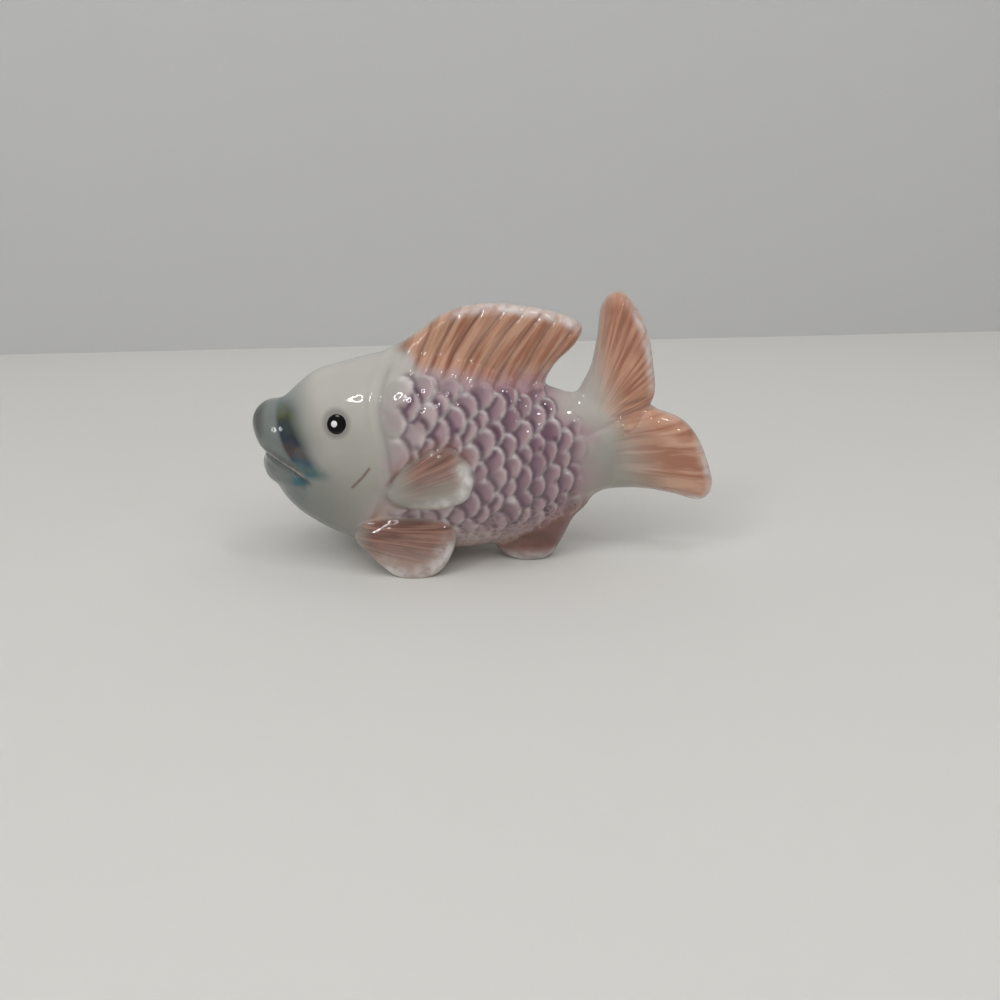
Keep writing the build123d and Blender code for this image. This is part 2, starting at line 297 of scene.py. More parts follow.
@dataclass
class Fin:
    """One fin: a pillowed plate that stands in a plane across the fish.

    Attributes:
        node: CAD node that the finished fin stands for.
        outline: Points of its rim in its own plane, X and Z in millimetres.
        thickness: Thickness in the middle of the fin.
        origin: Point that its rays fan out from.
        pitch: Degrees between rays.
        depth: Depth of the grooves between rays in millimetres.
        middle: Y of its plane.
        pivot: X that it is turned about.
        lift: Degrees that its rear stands off the flank.
        splay: Degrees that its lower edge stands out.
        flare: Growth of the thickness for each millimetre below the top.
        roundness: Width of the rounded rim as a share of the thickness.
    """

    node: str
    outline: Points
    thickness: float
    origin: tuple[float, float] = (0.0, 0.0)
    pitch: float = 8.0
    depth: float = 0.4
    middle: float = 0.0
    pivot: float = 0.0
    lift: float = 0.0
    splay: float = 0.0
    flare: float = 0.0
    roundness: float = 0.55

    def placing(self) -> np.ndarray:
        """Matrix from the fin's own plane to the figurine's frame.

        Returns:
            A 4 by 4 matrix in millimetres.
        """
        lift = Matrix.Rotation(math.radians(-self.lift), 4, "Z")
        splay = Matrix.Rotation(math.radians(-self.splay), 4, "X")
        there = Matrix.Translation((self.pivot, self.middle, 0))
        return np.array(there @ lift @ splay @ Matrix.Translation((-self.pivot, 0, 0)))

    def local(self, p: np.ndarray) -> np.ndarray:
        """Takes points on the left side or the middle into the fin's own plane.

        Args:
            p: Points in the figurine's frame, one per row.

        Returns:
            The same points in the fin's plane.
        """
        back = np.linalg.inv(self.placing())
        return p @ back[:3, :3].T + back[:3, 3]

    def inside(self, q: np.ndarray) -> np.ndarray:
        """Distance of points inside the rim, in the fin's own plane.

        Args:
            q: Points in the fin's plane, one per row.

        Returns:
            Distances, negative outside the rim.
        """
        curve = closed_curve(self.outline)
        near = ((q[:, [0, 2]] > curve.min(0) - 4) & (q[:, [0, 2]] < curve.max(0) + 4)).all(1)
        distance = np.full(len(q), -9.0)
        if near.any():
            distance[near] = line_distance(curve, q[near][:, [0, 2]], True)[0]
        return distance

    def blank(self, cell: float = 0.5, fatter: float = 0.35) -> bpy.types.Object:
        """Models the plain fin from a grid: trimmed to the rim, pillowed and doubled.

        Args:
            cell: Size of the grid's cells in millimetres.
            fatter: Growth of the rim that makes up for later smoothing.

        Returns:
            A closed mesh object in the figurine's frame.
        """
        curve = closed_curve(self.outline)
        low, high = curve.min(0) - 3, curve.max(0) + 3
        counts = [int(n) for n in np.ceil((high - low) / cell)]
        bpy.ops.object.select_all(action="DESELECT")
        bpy.ops.mesh.primitive_grid_add(x_subdivisions=counts[0], y_subdivisions=counts[1], size=2)
        piece = bpy.context.object
        unit = get_points(piece) * MM
        flat = low + (unit[:, :2] + 1) / 2 * (high - low)
        distance, nearest = line_distance(curve, flat, True)
        distance += fatter
        step = cell * 1.5
        rim = (distance < 0) & (distance > -step)
        outward = (flat - nearest) / np.maximum(np.abs(distance - fatter), 1e-6)[:, None]
        flat[rim] = (nearest + outward * fatter)[rim]
        full = self.thickness + self.flare * (high[1] - 3 - flat[:, 1])
        width = self.thickness * self.roundness
        rise = full / 2 * np.sqrt(np.clip(1 - (1 - np.clip(distance, 0, width) / width)**2, 0, 1))
        set_points(piece, np.column_stack([flat[:, 0], -rise, flat[:, 1]]))
        bpy.ops.object.mode_set(mode="EDIT")
        bpy.ops.mesh.select_mode(type="VERT")
        bpy.ops.mesh.select_all(action="DESELECT")
        bpy.ops.object.mode_set(mode="OBJECT")
        piece.data.vertices.foreach_set("select", distance <= -step)
        bpy.ops.object.mode_set(mode="EDIT")
        bpy.ops.mesh.delete(type="VERT")
        bpy.ops.mesh.select_all(action="SELECT")
        bpy.ops.mesh.duplicate()
        bpy.ops.transform.mirror(constraint_axis=(False, True, False), center_override=(0, 0, 0))
        bpy.ops.mesh.select_all(action="SELECT")
        bpy.ops.mesh.remove_doubles(threshold=0.02 * MM)
        bpy.ops.mesh.normals_make_consistent(inside=False)
        bpy.ops.object.mode_set(mode="OBJECT")
        points = get_points(piece)
        move = self.placing()
        set_points(piece, points @ move[:3, :3].T + move[:3, 3])
        return piece


DORSAL = Fin("dorsal_fin", [
    (-2.0, 56.7), (4.0, 56.8), (10.5, 56.0), (16.6, 54.6), (20.6, 52.2), (19.0, 48.4), (15.6, 45.2),
    (13.4, 41.8), (11.0, 37.0), (2.0, 37.0), (-8.0, 39.0), (-17.5, 41.0), (-21.0, 45.4), (-17.2, 48.7),
    (-13.5, 51.2), (-8.2, 54.9),
], 4.2, depth=0.75, flare=0.34, roundness=0.6)
TAIL_UPPER = Fin("tail_fin", [
    (19.0, 34.0), (20.8, 38.6), (23.2, 43.6), (24.4, 50.4), (25.2, 57.0), (28.2, 59.5), (31.2, 57.2),
    (34.4, 51.4), (36.2, 43.4), (36.2, 36.0), (29.0, 28.0),
], 5.6, origin=(22.6, 30.5), pitch=8.5, depth=0.2, roundness=0.7)
TAIL_LOWER = Fin("tail_fin", [
    (22.0, 27.0), (27.0, 33.0), (34.0, 34.4), (39.5, 33.2), (43.6, 31.2), (46.8, 27.4), (49.2, 22.0),
    (50.5, 16.4), (48.0, 13.5), (42.0, 15.0), (35.5, 16.2), (29.2, 16.2), (24.0, 15.4), (20.4, 16.0),
], 6.6, origin=(2.0, 25.4), pitch=2.9, depth=0.18, roundness=0.7)
PECTORAL = Fin("left_pectoral_fin", [
    (-16.6, 24.9), (-12.4, 27.7), (-7.8, 29.5), (-4.2, 27.0), (-2.2, 22.4), (-4.8, 18.2), (-11.6, 16.5),
    (-17.6, 17.0), (-20.4, 19.8),
], 4.8, origin=(-27.0, 16.6), pitch=6.0, depth=0.2, middle=-13.8, pivot=-21.0, lift=5.0, roundness=0.8)
PELVIC = Fin("left_pelvic_fin", [
    (-22.4, 12.4), (-15.0, 14.8), (-9.2, 14.0), (-6.4, 10.6), (-6.8, 5.8), (-10.0, 0.8), (-15.0, -0.8),
    (-19.8, 0.4), (-25.0, 5.0), (-28.0, 9.0),
], 6.6, origin=(-42.0, 11.0), pitch=4.4, depth=0.28, middle=-12.2, splay=8.0, roundness=0.8)
ANAL = Fin("anal_fin", [
    (0.6, 9.0), (2.4, 3.0), (6.6, -0.6), (11.4, -1.2), (15.0, 0.4), (17.4, 4.4), (19.8, 9.4), (23.4, 13.8),
    (21.0, 19.0), (6.0, 18.0),
], 11.0, roundness=0.5)


@dataclass
class Scales:
    """Overlapping scales of one flank, each a tilted dome that hides the front of the next.

    Attributes:
        first_x: Place of the first column in millimetres.
        pitch_x: Distance between columns.
        pitch_z: Distance between scales in the first column.
        converge: Loss of that distance for each millimetre towards the tail.
        middle_z: Height of the middle row.
        stray: Hand-made irregularity of a scale's place.
        overlap: Half height of a scale as a share of the distance between scales.
        slim: Half width as a share of the half height.
        height: Height of a scale's rear edge.
    """

    first_x: float = -18.2
    pitch_x: float = 2.9
    pitch_z: float = 5.8
    converge: float = 0.04
    middle_z: float = 24.6
    stray: float = 0.42
    overlap: float = 0.68
    slim: float = 0.78
    height: float = 1.05

    def centres(self) -> np.ndarray:
        """Lays out the scales of the left flank.

        Returns:
            Rows of X, Y, Z, radius, strength of the relief and a tint from 0 to 1, in millimetres.
        """
        rows = []
        for column in range(14):
            along = column * self.pitch_x
            pitch = self.pitch_z - self.converge * along
            for row in range(-6, 7):
                x = self.first_x + along + self.stray * math.sin(5 * column + 3 * row)
                z = self.middle_z + (row + column % 2 / 2) * pitch
                z += self.stray * math.sin(7 * column + 4 * row) - 2.2 * math.exp(-column / 1.5)
                size = pitch * self.overlap * (1 + 0.17 * math.sin(4 * column + 9 * row))
                spot = np.array([[x, 0.0, z]])
                sides = [curve_at(SECTIONS[:, 0], SECTIONS[:, k], spot[:, 0]) for k in (1, 2, 3)]
                low, high, half = (float(side[0]) for side in sides)
                rise = (z - (high + low) / 2) / ((high - low) / 2)
                ahead = float(gill_gap(spot)[0])
                if z > dorsal_base(x) - 0.2 - 2.8 * float(ramp(-9.0, -14.0, x)) or not -0.86 < rise < 0.95:
                    continue
                if ahead < 1.1 or PECTORAL.inside(spot)[0] > 0.2 or (x > 16.0 and z > 32.5):
                    continue
                strength = float(ramp(7.0, 18.0, z) * 0.8 + 0.2) * float(ramp(21.5, 13.0, x) * 0.65 + 0.35)
                strength *= 1 - 0.45 * math.exp(-column / 1.5)
                strength *= 1 + 0.28 * math.sin(6 * column + 7 * row)
                tint = 0.5 + 0.5 * math.sin(8 * column + 5 * row)
                rows.append((x, -half * math.sqrt(1 - rise * rise), z, size, strength, tint))
        return np.array(rows)

    def relief(self, p: np.ndarray) -> tuple[np.ndarray, np.ndarray, np.ndarray, np.ndarray, np.ndarray]:
        """Height of the scales at points on the flank.

        Args:
            p: Points in millimetres, folded onto the left side.

        Returns:
            The height in millimetres, how near each point is to the rear edge of its scale, its scale's tint,
            how far back on its scale it is, and how deep it lies in the shade behind another scale.
        """
        top = np.zeros(len(p))
        edge = np.zeros(len(p))
        tints = np.full(len(p), 0.5)
        rises = np.zeros(len(p))
        dark = np.zeros(len(p))
        for x, y, z, size, strength, tint in self.centres()[::-1]:
            near = np.flatnonzero((np.abs(p[:, 0] - x) < size * 1.5) & (np.abs(p[:, 2] - z) < size * 1.4))
            q = (p[near] - (x, y, z)) / size
            lean = q[:, 0] - (0.05 + 0.3 * tint) * q[:, 2]
            reach = np.sqrt((lean / self.slim)**2 + q[:, 1]**2 + q[:, 2]**2)
            back = np.clip(lean / self.slim, -1, 1)
            lift = self.height * (0.5 + 0.5 * back) + 0.4 * np.clip(1 - reach**2, 0, 1)
            lift = strength * lift * ramp(1.0, 0.7, reach)
            over = lift > top[near]
            top[near[over]] = lift[over]
            edge[near[over]] = (ramp(0.55, 0.85, reach) * ramp(-0.3, 0.4, back + 0.4 * q[:, 2]))[over]
            tints[near[over]] = tint
            rises[near[over]] = (0.5 + 0.5 * back)[over]
            behind = ramp(1.4, 1.0, reach) * ramp(-0.2, 0.4, back) * (reach > 0.9)
            dark[near] = np.where(over, 0.0, np.maximum(dark[near], behind))
        return top, edge, tints, rises, dark


class Mask(Enum):
    """Paint and relief masks kept on the skin's vertices."""

    GROOVE = "groove"
    EDGE = "edge"
    TEAL = "teal"
    CREASE = "crease"
    MAUVE = "mauve"
    SALMON = "salmon"
    ROSE = "rose"
    TINT = "tint"
    SHADE = "shade"
    FLECK = "fleck"
    DASH = "dash"
    RAY = "ray"
    LIP = "lip"
    PEACH = "peach"
    HALO = "halo"


NODES = (
    "body_shell", "dorsal_fin", "tail_fin", "anal_fin", "left_pectoral_fin", "right_pectoral_fin",
    "left_pelvic_fin", "right_pelvic_fin",
)


def settled(owner: np.ndarray, corners: np.ndarray, starts: np.ndarray) -> np.ndarray:
    """Gives small islands of faces to the piece round them, so that every piece is of one part.

    Args:
        owner: Piece of each face.
        corners: Vertex of each face corner.
        starts: First corner of each face.

    Returns:
        The piece of each face, with one island for each piece.
    """
    faces = np.repeat(np.arange(len(starts)), np.diff(np.append(starts, len(corners))))
    order = np.argsort(corners, kind="stable")
    ring = faces[order]
    same = corners[order][1:] == corners[order][:-1]
    pairs = np.column_stack([ring[:-1][same], ring[1:][same]])
    for _ in range(3):
        island = np.arange(len(owner))
        inner = pairs[owner[pairs[:, 0]] == owner[pairs[:, 1]]]
        while True:
            low = np.minimum(island[inner[:, 0]], island[inner[:, 1]])
            fresh = island.copy()
            np.minimum.at(fresh, inner[:, 0], low)
            np.minimum.at(fresh, inner[:, 1], low)
            fresh = fresh[fresh]
            if (fresh == island).all():
                break
            island = fresh
        sizes = np.bincount(island, minlength=len(owner))
        keep = {int(k): max(np.unique(island[owner == k]), key=lambda i: sizes[i]) for k in np.unique(owner)}
        stray = np.array([keep[int(k)] for k in owner]) != island
        if not stray.any():
            break
        for _ in range(60):
            for first, second in ((0, 1), (1, 0)):
                edge = stray[pairs[:, first]] & ~stray[pairs[:, second]]
                owner[pairs[edge, first]] = owner[pairs[edge, second]]
                stray[pairs[edge, first]] = False
            if not stray.any():
                break
    return owner


@dataclass
class Skin:
    """The whole casting: body, lips and fins melted together, sculpted and painted.

    Attributes:
        voxel: Size of the skin's cells in millimetres.
        melt: Rounds of smoothing that melt the joints.
        fins: Fins in the middle plane.
        paired: Left-hand fins that have a right-hand copy.
        scales: Scales of the flanks.
        eye: X and Z of the eyes' middles.
    """

    voxel: float = 0.31
    melt: int = 19
    fins: tuple[Fin, ...] = (DORSAL, TAIL_UPPER, TAIL_LOWER, ANAL)
    paired: tuple[Fin, ...] = (PECTORAL, PELVIC)
    scales: Scales = field(default_factory=Scales)
    eye: tuple[float, float] = EYE

    def trunk(self) -> bpy.types.Object:
        """Models the smooth body from a sphere that is drawn out through the sections.

        Returns:
            A closed mesh object.
        """
        bpy.ops.object.select_all(action="DESELECT")
        bpy.ops.mesh.primitive_uv_sphere_add(segments=96, ring_count=160, radius=1)
        piece = bpy.context.object
        unit = get_points(piece) * MM
        turn = np.arctan2(unit[:, 1], unit[:, 0])
        share = np.clip(np.arccos(np.clip(-unit[:, 2], -1, 1)) / math.pi, 0, 1)
        x = SECTIONS[0, 0] + share * (SECTIONS[-1, 0] - SECTIONS[0, 0])
        low, high, half = (curve_at(SECTIONS[:, 0], SECTIONS[:, k], x) for k in (1, 2, 3))
        close = np.sqrt(np.clip(1 - np.abs(2 * share - 1)**24, 0, 1))
        y = half * np.sin(turn) * close
        z = (high + low) / 2 + (high - low) / 2 * np.cos(turn) * close
        set_points(piece, np.column_stack([x, y, z]))
        return piece

    def lips(self) -> list[bpy.types.Object]:
        """Models both lips as rolls of balls that thin towards the corners of the mouth.

        Returns:
            Closed mesh objects.
        """
        rolls = (
            [(-45.2, 0.0, 31.0, 5.6), (-44.5, 4.2, 29.6, 4.5), (-42.6, 7.2, 27.0, 2.6),
             (-40.2, 9.0, 24.4, 1.5), (-38.4, 9.9, 22.3, 0.9)],
            [(-45.6, 0.0, 21.9, 3.5), (-44.6, 4.0, 21.6, 3.0), (-42.6, 6.8, 21.2, 2.2),
             (-40.4, 8.6, 20.6, 1.5), (-38.6, 9.6, 20.2, 1.0)],
        )
        pieces = []
        for roll in rolls:
            line = np.array(roll)
            steps = np.linspace(0, len(line) - 1, 14)
            places = np.column_stack([curve_at(np.arange(len(line)), line[:, k], steps) for k in range(4)])
            for x, y, z, radius in places:
                for side in (-1, 1):
                    spot = (x * MM, side * y * MM, z * MM)
                    bpy.ops.mesh.primitive_uv_sphere_add(segments=32, ring_count=16, radius=radius * MM, location=spot)
                    pieces.append(bpy.context.object)
        return pieces

    def mirrored(self, piece: bpy.types.Object) -> bpy.types.Object:
        """Copies a left-hand piece to the right.

        Args:
            piece: Left-hand mesh object.

        Returns:
            The right-hand copy.
        """
        copy = piece.copy()
        copy.data = piece.data.copy()
        bpy.context.collection.objects.link(copy)
        set_points(copy, get_points(copy) * (1, -1, 1))
        select_only(copy)
        bpy.ops.object.mode_set(mode="EDIT")
        bpy.ops.mesh.select_all(action="SELECT")
        bpy.ops.mesh.normals_make_consistent(inside=False)
        bpy.ops.object.mode_set(mode="OBJECT")
        return copy

    def cast(self) -> bpy.types.Object:
        """Melts the blanks into one skin.

        Returns:
            A closed mesh object.
        """
        blanks = [self.trunk()] + self.lips() + [fin.blank() for fin in self.fins]
        for fin in self.paired:
            left = fin.blank()
            blanks += [left, self.mirrored(left)]
        bpy.ops.object.select_all(action="DESELECT")
        for piece in blanks:
            piece.select_set(True)
        bpy.context.view_layer.objects.active = blanks[0]
        bpy.ops.object.join()
        skin = bpy.context.object
        bpy.ops.object.transform_apply(location=True, rotation=True, scale=True)
        apply_modifier(skin, "REMESH", mode="VOXEL", voxel_size=self.voxel * MM)
        apply_modifier(skin, "SMOOTH", factor=0.5, iterations=self.melt)
        p = get_points(skin)
        folded = p * (1, 0, 1) - np.abs(p) * (0, 1, 0)
        gap = body_gap(p)
        above = p[:, 2] - np.interp(p[:, 0], MOUTH[:, 0], MOUTH[:, 1])
        soft = ramp(-33.0, -38.0, p[:, 0]) * np.maximum(ramp(0.8, 3.4, above), ramp(-1.4, -3.4, above))
        for fin in self.fins:
            near = np.abs(p[:, 1]) < fin.thickness
            joint = ramp(-3.5, -0.5, np.where(near, fin.inside(p), -9.0))
            soft = np.maximum(soft, np.exp(-(gap / 2.2)**2) * joint)
        root = PECTORAL.local(folded)
        soft = np.maximum(soft, ramp(-1.5, -0.3, PECTORAL.inside(root)) * ramp(-15.0, -18.0, root[:, 0]))
        root = PELVIC.local(folded)
        soft = np.maximum(soft, ramp(-1.5, -0.3, PELVIC.inside(root)) * ramp(-18.0, -24.0, root[:, 0]))
        self.soften(skin, soft, 82)
        return skin

    def soften(self, skin: bpy.types.Object, weights: np.ndarray, rounds: int) -> None:
        """Smooths part of the skin.

        Args:
            skin: The casting.
            weights: Strength at each vertex, from 0 to 1.
            rounds: Rounds of smoothing.
        """
        group = skin.vertex_groups.new(name="soft")
        steps = np.round(weights * 8).astype(int)
        for step in range(1, 9):
            chosen = np.flatnonzero(steps == step)
            if len(chosen):
                group.add([int(k) for k in chosen], step / 8, "REPLACE")
        apply_modifier(skin, "SMOOTH", factor=0.5, iterations=rounds, vertex_group="soft")
        skin.vertex_groups.remove(skin.vertex_groups["soft"])

    def sculpt(self, skin: bpy.types.Object) -> None:
        """Presses scales, rays, the gill rims and the fins' hollows into the skin and keeps the masks.

        Args:
            skin: The melted casting.
        """
        p = get_points(skin)
        normals = get_normals(skin)
        folded = p * (1, 0, 1) - np.abs(p) * (0, 1, 0)
        gap = body_gap(p)
        behind = gill_gap(p)
        x, z = p[:, 0], p[:, 2]
        masks = {mask: np.zeros(len(p)) for mask in Mask}
        move = np.zeros(len(p))
        side_fin = np.full(len(p), -9.0)
        reign = np.zeros(len(p))

        for index, fin in enumerate(self.fins + self.paired):
            q = fin.local(folded if fin in self.paired else p)
            inside = fin.inside(q)
            away = np.abs(q[:, 1]) - (fin.thickness + fin.flare * 14) / 2
            zone = ramp(-0.8, 0.4, inside) * ramp(6.0 if fin is DORSAL else 1.8, 0.8, away)
            rim = np.zeros(len(p))
            if fin is DORSAL:
                base = dorsal_base(x)
                carved = ramp(0.0, 2.2, inside) * ramp(-4.5, 0.6, z - base) * ramp(-19.0, -15.0, x)
                carved *= ramp(10.5, 8.0, np.abs(p[:, 1]))
                zone *= ramp(-1.2, 2.6 + 0.16 * np.clip(x + 10, 0, 24), z - base + 0.5 * np.sin(1.3 * x))
                ray = dorsal_ray(x, z)
                rim = 0.8 * zone * ramp(2.4, 0.5, inside) * ramp(-10.0, -3.0, x) * ramp(50.0, 53.0, z)
            elif fin is ANAL:
                zone *= ramp(-0.5, 1.5, gap)
                ray = ends = np.zeros(len(p))
            else:
                zone *= ramp(20.0, 27.0, x) if fin.node == "tail_fin" else ramp(-0.2, 0.9, gap)
                angle = np.degrees(np.arctan2(q[:, 2] - fin.origin[1], q[:, 0] - fin.origin[0]))
                ray = angle / fin.pitch + 0.35 * np.sin(angle * 0.9)
                ends = ramp(0.4, 2.4, inside) * (0.55 + 0.45 * np.sin(2.6 * np.floor(ray)))
                rim = zone * ramp(2.2, 0.6, inside)
            deep = 1 - np.abs(2 * (ray - np.floor(ray)) - 1)
            if fin is DORSAL:
                groove = (0.4 * deep**2 + 0.6 * deep**8 + 0.2 * (1 - deep)**8) * carved
            else:
                groove = deep**5 * ends * zone
            strength = zone.copy()
            span = 0.4 if fin.node == "tail_fin" else 1.0
            masks[Mask.RAY] = np.where(zone > reign, span * ray + 40 * index, masks[Mask.RAY])
            reign = np.maximum(reign, zone)
            if fin is TAIL_UPPER:
                strength *= ramp(22.0, 33.0, x + 0.36 * (z - 34))
                groove *= 0.5 * ramp(24.0, 31.0, x + 0.3 * (z - 34))
                # the rim here is a painted highlight on the upper lobe's trailing edge
                rim *= 0.7 * ramp(0.0, 3.0, x - 30.0 + 0.1 * (z - 48)) * ramp(36, 42, z) + 0.08
                for start in (34.4, 36.2):
                    stroke = np.exp(-((z - start - 0.3 * (x - 32)) / 0.45)**2)
                    groove = np.maximum(groove, zone * stroke * ramp(27.5, 30.5, x) * ramp(36.5, 34.5, x))
            if fin is TAIL_LOWER:
                strength *= ramp(27.0, 42.0, x + 0.5 * (z - 22))
                groove *= 0.5 * ramp(26.0, 33.0, x)
                # the rim here is a painted highlight on the lower lobe's trailing edge, with a whitish rim along its
                # bottom
                rim *= 0.6 * ramp(44.0, 48.5, x) * ramp(30, 24, z) + 0.05 + 0.35 * ramp(18.0, 15.0, z)
                fold = np.array([(20.0, 28.6), (22.1, 29.3), (27.0, 31.0), (30.5, 32.4), (33.4, 33.9), (37.0, 35.2)])
                ridge = z - np.interp(x, fold[:, 0], fold[:, 1])
                lobes = ramp(20.5, 24.0, x) * ramp(38.5, 35.5, x)
                move += 0.6 * ramp(0.6, -0.6, ridge) * ramp(-7.0, -0.6, ridge) * lobes
                shadow = np.exp(-((ridge - 0.7) / 0.8)**2) * lobes * (0.15 + 0.35 * ramp(26.0, 31.0, x))
                masks[Mask.GROOVE] = np.maximum(masks[Mask.GROOVE], shadow)
            if fin is PECTORAL:
                side_fin = np.maximum(side_fin, inside)
                rear = ramp(-12.0, -5.0, q[:, 0] - 0.9 * (q[:, 2] - 22))
                rim = zone * ramp(3.4, 0.8, inside) * rear
                tilted = q[:, 2] - 0.3 * (q[:, 0] + 12)
                strength *= (1 - rear * ramp(3.4, 0.8, inside)) * ramp(17.0, 25.5, tilted)
                strength *= ramp(-19.5, -12.5, q[:, 0])
                upper = ramp(-3.4, -0.8, inside) * ramp(0.2, -0.4, inside) * ramp(22.0, 25.0, tilted)
                masks[Mask.ROSE] = np.maximum(masks[Mask.ROSE], 0.5 * upper * ramp(0.0, 1.5, behind))
                # painted shadow along the pectoral fin's upper edge, where it meets the flank
                contact_shadow = ramp(0.9, 0.1, np.abs(inside + 0.3)) * upper
                masks[Mask.GROOVE] = np.maximum(masks[Mask.GROOVE], contact_shadow)
                groove *= 0.5
            if fin is PELVIC:
                side_fin = np.maximum(side_fin, np.where(gap > 0.2, inside, -9.0))
                rim = 0.9 * zone * ramp(5.0, 0.8, inside) * ramp(9.0, 2.5, q[:, 2] - 0.3 * (q[:, 0] + 16))
                strength *= (0.3 + 0.7 * ramp(1.0, 9.0, q[:, 2])) * ramp(-29.0, -23.0, q[:, 0])
                masks[Mask.PEACH] = 0.7 * zone * ramp(9.0, 2.0, q[:, 2])
            if fin is ANAL:
                strength *= 0.3 + 0.7 * ramp(1.2, 4.2, q[:, 2])
                rim = 0.6 * zone * ramp(3.4, 0.9, q[:, 2])
            move -= fin.depth * groove
            masks[Mask.GROOVE] = np.maximum(masks[Mask.GROOVE], groove)
            masks[Mask.EDGE] = np.maximum(masks[Mask.EDGE], rim)
            paint = Mask.SALMON if fin in (DORSAL, TAIL_UPPER, TAIL_LOWER) else Mask.ROSE
            masks[paint] = np.maximum(masks[paint], strength)

        # the gill cover stands a little above the flank, with a soft bead along its rim
        head = ramp(0.9, -1.1, behind) * ramp(2.5, 1.0, gap)
        move += (0.32 + 0.18 * np.exp(-((behind + 1.2) / 1.0)**2)) * head * ramp(-46, -40, x)
        slit = ramp(0.9, 0.1, line_distance(MOUTH, p[:, [0, 2]], False)[0])
        move -= 0.55 * slit
        relief, edge, tints, rises, dark = self.scales.relief(folded)
        area = ramp(2.2, 1.0, gap) * ramp(0.2, 1.2, behind) * ramp(0.4, -0.8, side_fin)
        relief *= area
        move += relief
        scaly = area * ramp(22.0, 18.0, x) * ramp(1.0, -1.0, z - dorsal_base(x)) * ramp(5.0, 13.0, z)
        front = 0.75 * ramp(0.9, 0.3, rises) * (relief > 0.03) * (0.45 + 0.55 * ramp(-12.0, 2.0, x))
        masks[Mask.SHADE] = scaly * np.maximum(dark, front) * (0.5 + 0.5 * ramp(1.0, 8.0, behind))
        slot = 0.3 * np.exp(-((behind - 0.8) / 0.6)**2) * ramp(1.5, 0.8, gap)
        slot *= ramp(12.0, 20.0, z) * ramp(47.0, 43.0, z)
        masks[Mask.SHADE] = np.maximum(masks[Mask.SHADE], slot)
        # painted highlight on the upper rear rims of the scales
        masks[Mask.EDGE] = np.maximum(masks[Mask.EDGE], 0.85 * edge * scaly)
        masks[Mask.TINT] = tints

        dish = np.sqrt(((x - 11.0) / 5.6)**2 + ((z - 5.0) / 3.2)**2)
        move -= 1.1 * ramp(1.0, 0.2, dish) * ramp(2.5, 4.0, np.abs(p[:, 1]))
        masks[Mask.GROOVE] = np.maximum(masks[Mask.GROOVE], 0.8 * ramp(1.15, 0.75, dish) * (z < 10))

        wave = 1.2 * np.sin(z * 0.55) + 0.8 * np.sin(z * 1.3 + x)
        flank = ramp(-3.0, 11.0, behind + wave + 0.25 * (30 - z)) * ramp(28.0, 13.0, x + wave)
        flank *= ramp(0.2, -1.0, side_fin) * (1 - 0.7 * ramp(11.0, 18.0, x) * ramp(30.5, 35.0, z))
        masks[Mask.MAUVE] = flank * ramp(5.0, 1.0, z - dorsal_base(x))
        masks[Mask.MAUVE] *= 0.3 + 0.7 * ramp(6.0, 16.0, z + 0.25 * x)
        masks[Mask.FLECK] = flank * ramp(18.0, 9.0, z - 0.15 * x) * ramp(1.6, 0.6, gap)
        snout = ramp(-31.5, -41.0, x + 0.25 * np.maximum(z - 28, 0))
        masks[Mask.TEAL] = np.maximum(snout, 0.75 * ramp(-23.0, -39.0, x) * ramp(32.0, 14.0, z))
        beyond = x - np.interp(z, CREASE[::-1, 1], CREASE[::-1, 0])
        band = ramp(-0.9, 0.6, beyond) * ramp(6.8, 0.8, beyond) * ramp(38.0, 35.0, z) * ramp(20.5, 23.5, z)
        corner = np.exp(-((x + 39.2) / 2.0)**2 - ((z - 20.9) / 1.1)**2)
        masks[Mask.CREASE] = np.maximum(band, corner)
        above = z - np.interp(x, MOUTH[:, 0], MOUTH[:, 1])
        lip = ramp(-36.5, -39.5, x) * ramp(0.4, -0.6, beyond)
        masks[Mask.LIP] = lip * np.maximum(ramp(-46.2, -49.0, x), ramp(3.6, 0.6, above) * (above > -0.2))
        masks[Mask.EDGE] = np.maximum(masks[Mask.EDGE], 0.7 * lip * ramp(0.55, 0.15, np.abs(above - 0.75)))
        low_rim = np.exp(-((behind - 0.6) / 1.8)**2) * ramp(20.0, 11.0, z)
        belly = 0.7 * ramp(-26.0, -12.0, x) * ramp(9.0, 4.0, z) * ramp(26.0, 15.0, x)
        masks[Mask.PEACH] = np.maximum(masks[Mask.PEACH], np.maximum(low_rim, belly) * ramp(2.5, 1.0, gap))
        dash = np.array([(-23.8, 25.0), (-25.4, 22.9), (-27.6, 20.6)])
        masks[Mask.DASH] = ramp(0.42, 0.12, line_distance(dash, p[:, [0, 2]], False)[0])
        ring = np.hypot(x - self.eye[0], z - self.eye[1])
        masks[Mask.HALO] = ramp(3.6, 2.4, ring) * (gap < 3)

        set_points(skin, p + normals * move[:, None])
        apply_modifier(skin, "SMOOTH", factor=0.5, iterations=3)
        p = get_points(skin)
        p[:, 2] = np.where(p[:, 2] < 0.25, np.maximum(p[:, 2], 0.0), p[:, 2])
        set_points(skin, p)
        ends = np.empty(len(skin.data.edges) * 2, np.int32)
        skin.data.edges.foreach_get("vertices", ends)
        a, b = ends.reshape(-1, 2).T
        count = np.bincount(ends, minlength=len(p))
        for mask in (Mask.SHADE, Mask.EDGE, Mask.GROOVE, Mask.TINT):
            for _ in range(3):
                total = np.bincount(a, masks[mask][b], len(p)) + np.bincount(b, masks[mask][a], len(p))
                masks[mask] = 0.5 * masks[mask] + 0.5 * total / count
        for mask, values in masks.items():
            layer = skin.data.attributes.new(mask.value, "FLOAT", "POINT")
            layer.data.foreach_set("value", values if mask is Mask.RAY else np.clip(values, 0, 1))

